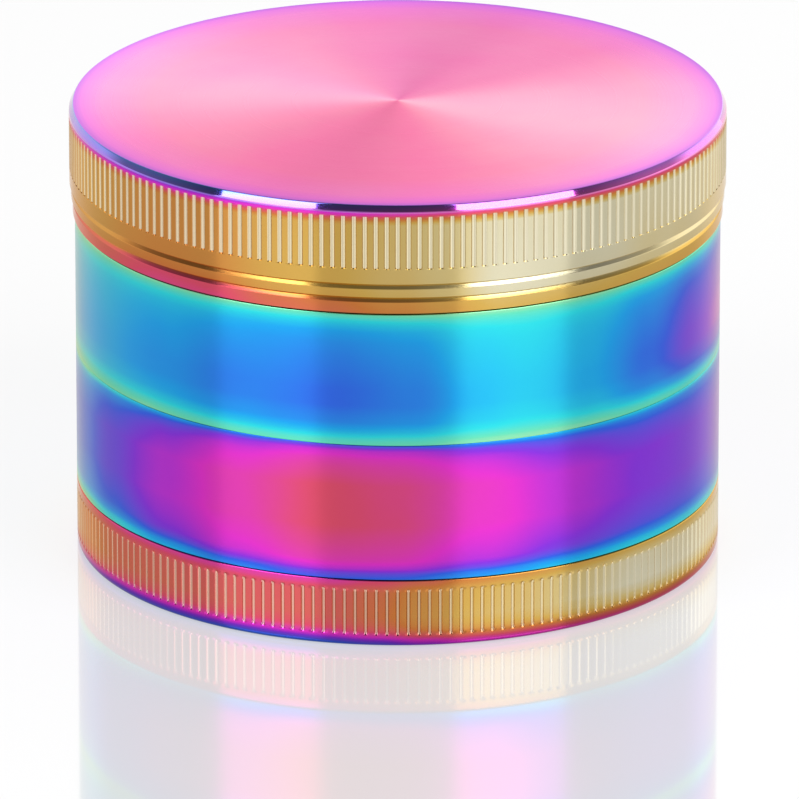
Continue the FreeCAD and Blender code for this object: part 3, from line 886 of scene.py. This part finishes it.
# Thread: (body, slot, material, wall radius, crest radius, its lowest and highest middle, start in degrees)
SPIGOT_CREST = SPIGOT_RADIUS + THREAD_HEIGHT
SOCKET_CREST = SOCKET_RADIUS - THREAD_HEIGHT
THREADS = {
    "base_thread": ("base", "base_film", base_inside, SPIGOT_RADIUS, SPIGOT_CREST, 7.2, 9.0, 0),
    "tray_thread": ("tray", "tray_film", tray_inside, SPIGOT_RADIUS, SPIGOT_CREST, 17.15, 19.6, 0),
    "chamber_lower_thread": (
        "chamber", "chamber_film", chamber_inside, SOCKET_RADIUS, SOCKET_CREST, 7.95, 9.45, 0),
    "chamber_upper_thread": (
        "chamber", "chamber_film", chamber_inside, SOCKET_RADIUS, SOCKET_CREST, 16.6, 19.25, 48),
}
for name, (body, slot, material, wall, crest, low, high, start) in THREADS.items():
    ridge = thread(name, wall, crest, low, high, math.radians(start))
    dress(ridge, material)
    carry(ridge, body, slot)

sieve = woven_disc("sieve_weave", SCREEN_RADIUS - PIECE_CLEARANCE, (SCREEN_BOTTOM + SCREEN_TOP) / 2)
dress(sieve, sieve_steel)
carry(sieve, "sieve", "sieve_steel", "mesh_screen")


# Solids that keep their shape

# Node: (material, width of its broken edges)
KEPT = {
    "tray_floor": (tray_inside, 0.15),
    "tray_post": (tray_inside, 0.12),
    "tray_inner_teeth": (tray_inside, 0.16),
    "tray_outer_teeth": (tray_inside, 0.16),
    "lid_inner_teeth": (lid_inside, 0.16),
    "lid_outer_teeth": (lid_inside, 0.16),
    "tray_magnet": (magnet_nickel, 0.25),
    "lid_magnet": (magnet_nickel, 0.25),
    "slip_ring": (slip_polymer, 0.15),
    "screen_retaining_ring": (ring_steel, 0.1),
}
WELD_DISTANCE = 0.005
SHARP_ANGLE = 40.0
for node, (material, width) in KEPT.items():
    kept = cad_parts[node]
    dress(kept, material)
    weld = kept.modifiers.new("weld", "WELD")
    weld.merge_threshold = WELD_DISTANCE * MM
    bevel = kept.modifiers.new("broken_edges", "BEVEL")
    bevel.width = width * MM
    bevel.segments = 2
    bevel.limit_method = "ANGLE"
    bevel.angle_limit = math.radians(SHARP_ANGLE)


# Lights and floor, in metres

def toward(azimuth, elevation, distance):
    """Point at an azimuth from the front, right positive, and an elevation, in degrees."""
    turn, rise = math.radians(azimuth), math.radians(elevation)
    across, back, up = math.sin(turn) * math.cos(rise), -math.cos(turn) * math.cos(rise), math.sin(rise)
    return Vector((across, back, up)) * distance


# Soft box: (azimuth, elevation, width, height, radiance)
LIGHT_DISTANCE = 0.9
SOFT_BOXES = {
    "soft_box_left": (-46.5, 17, 0.576, 0.449, 1.4),
    "soft_box_left_upper": (-51.5, 44, 0.446, 0.366, 4.0),
    "soft_box_right": (41, 17, 0.626, 0.449, 1.4),
    "soft_box_right_upper": (47.6, 44, 0.557, 0.366, 4.0),
}
for name, (azimuth, elevation, width, height, radiance) in SOFT_BOXES.items():
    light = bpy.data.lights.new(name, "AREA")
    light.shape = "RECTANGLE"
    light.size, light.size_y = width, height
    light.energy = radiance * math.pi * width * height
    lamp = bpy.data.objects.new(name, light)
    lamp.location = toward(azimuth, elevation, LIGHT_DISTANCE)
    lamp.rotation_euler = (-lamp.location).to_track_quat("-Z", "Y").to_euler()
    scene.collection.objects.link(lamp)

# The floor lies just under the base; its white shows to the camera and in reflections
FLOOR_RADIUS = 3.0
FLOOR_SIDES = 96
FLOOR_DROP = 0.00002
FLOOR_WHITE = 0.5
rim_angles = [2 * math.pi * side / FLOOR_SIDES for side in range(FLOOR_SIDES)]
floor_mesh = bpy.data.meshes.new("floor")
floor_mesh.from_pydata(
    [(0, 0, 0)] + [(FLOOR_RADIUS * math.cos(a), FLOOR_RADIUS * math.sin(a), 0) for a in rim_angles],
    [],
    [(0, 1 + side, 1 + (side + 1) % FLOOR_SIDES) for side in range(FLOOR_SIDES)])
floor = bpy.data.objects.new("floor", floor_mesh)
floor.location.z = -FLOOR_DROP
scene.collection.objects.link(floor)
floor_graph = Graph("floor_white")
floor_graph.set("Base Color", (0.93, 0.93, 0.93, 1))
floor_graph.set("Roughness", 0.05)
floor_graph.set("Metallic", 0.4)
floor_graph.set("IOR", 1.5)
white = floor_graph.add("ShaderNodeEmission")
mixed = floor_graph.add("ShaderNodeMixShader")
path = floor_graph.add("ShaderNodeLightPath")
seen = floor_graph.math("MAXIMUM", path.outputs["Is Camera Ray"], path.outputs["Is Glossy Ray"])
seen = floor_graph.math("MAXIMUM", seen, path.outputs["Is Transmission Ray"])
floor_graph.link(floor_graph.math("MULTIPLY", seen, FLOOR_WHITE), mixed.inputs[0])
floor_graph.link(floor_graph.shader.outputs[0], mixed.inputs[1])
floor_graph.link(white.outputs[0], mixed.inputs[2])
floor_graph.link(mixed.outputs[0], floor_graph.surface)
dress(floor, floor_graph.material)


# Studio

world = bpy.data.worlds.new("studio")
scene.world = world
world.use_nodes = True
studio = Nodes(world.node_tree)
coordinates = studio.add("ShaderNodeTexCoord")
split = studio.add("ShaderNodeSeparateXYZ")
studio.link(coordinates.outputs["Generated"], split.inputs[0])
toward_right, toward_back, toward_top = split.outputs


def fade(direction, low, high, to_low, to_high):
    """Brightness that goes smoothly from to_low to to_high while a direction goes from low to high."""
    return studio.span(direction, low, high, to_low, to_high, "SMOOTHSTEP")


# Brighter to the back and right, darker overhead and high up on both sides
depth = fade(toward_back, -0.5, 0.4, 0.5, 1.2)
across = fade(toward_right, -0.6, 0.8, 0.9, 1.35)
ceiling = fade(toward_back, -0.3, 0.4, 0.85, 0.6)
overhead = studio.math("MULTIPLY", ceiling, fade(toward_top, 0.36, 0.75, 0.0, 1.0))
beside = fade(studio.math("ABSOLUTE", toward_right), 0.5, 0.8, 0.0, 0.68)
flanks = studio.math("MULTIPLY", beside, fade(toward_top, 0.22, 0.34, 0.0, 1.0))
level = studio.math("MULTIPLY", depth, across)
for dark in (overhead, flanks):
    level = studio.math("MULTIPLY", level, studio.math("SUBTRACT", 1.0, dark))
background = studio.add("ShaderNodeBackground")
background.inputs["Color"].default_value = (1, 1, 1, 1)
studio.link(level, background.inputs["Strength"])
output = studio.add("ShaderNodeOutputWorld")
studio.link(background.outputs[0], output.inputs["Surface"])


# Camera

CAMERA_ELEVATION = 19.7
CAMERA_DISTANCE = 1.3
CAMERA_AIM = Vector((0.00017, 0.0, 0.01378))
camera = bpy.data.cameras.new("camera")
camera.sensor_width = 36
camera.lens = 606.9
camera.clip_start = 0.01
camera.clip_end = 20
view = bpy.data.objects.new("camera", camera)
view.location = CAMERA_AIM + toward(0, CAMERA_ELEVATION, CAMERA_DISTANCE)
view.rotation_euler = (CAMERA_AIM - view.location).to_track_quat("-Z", "Y").to_euler()
scene.collection.objects.link(view)
scene.camera = view
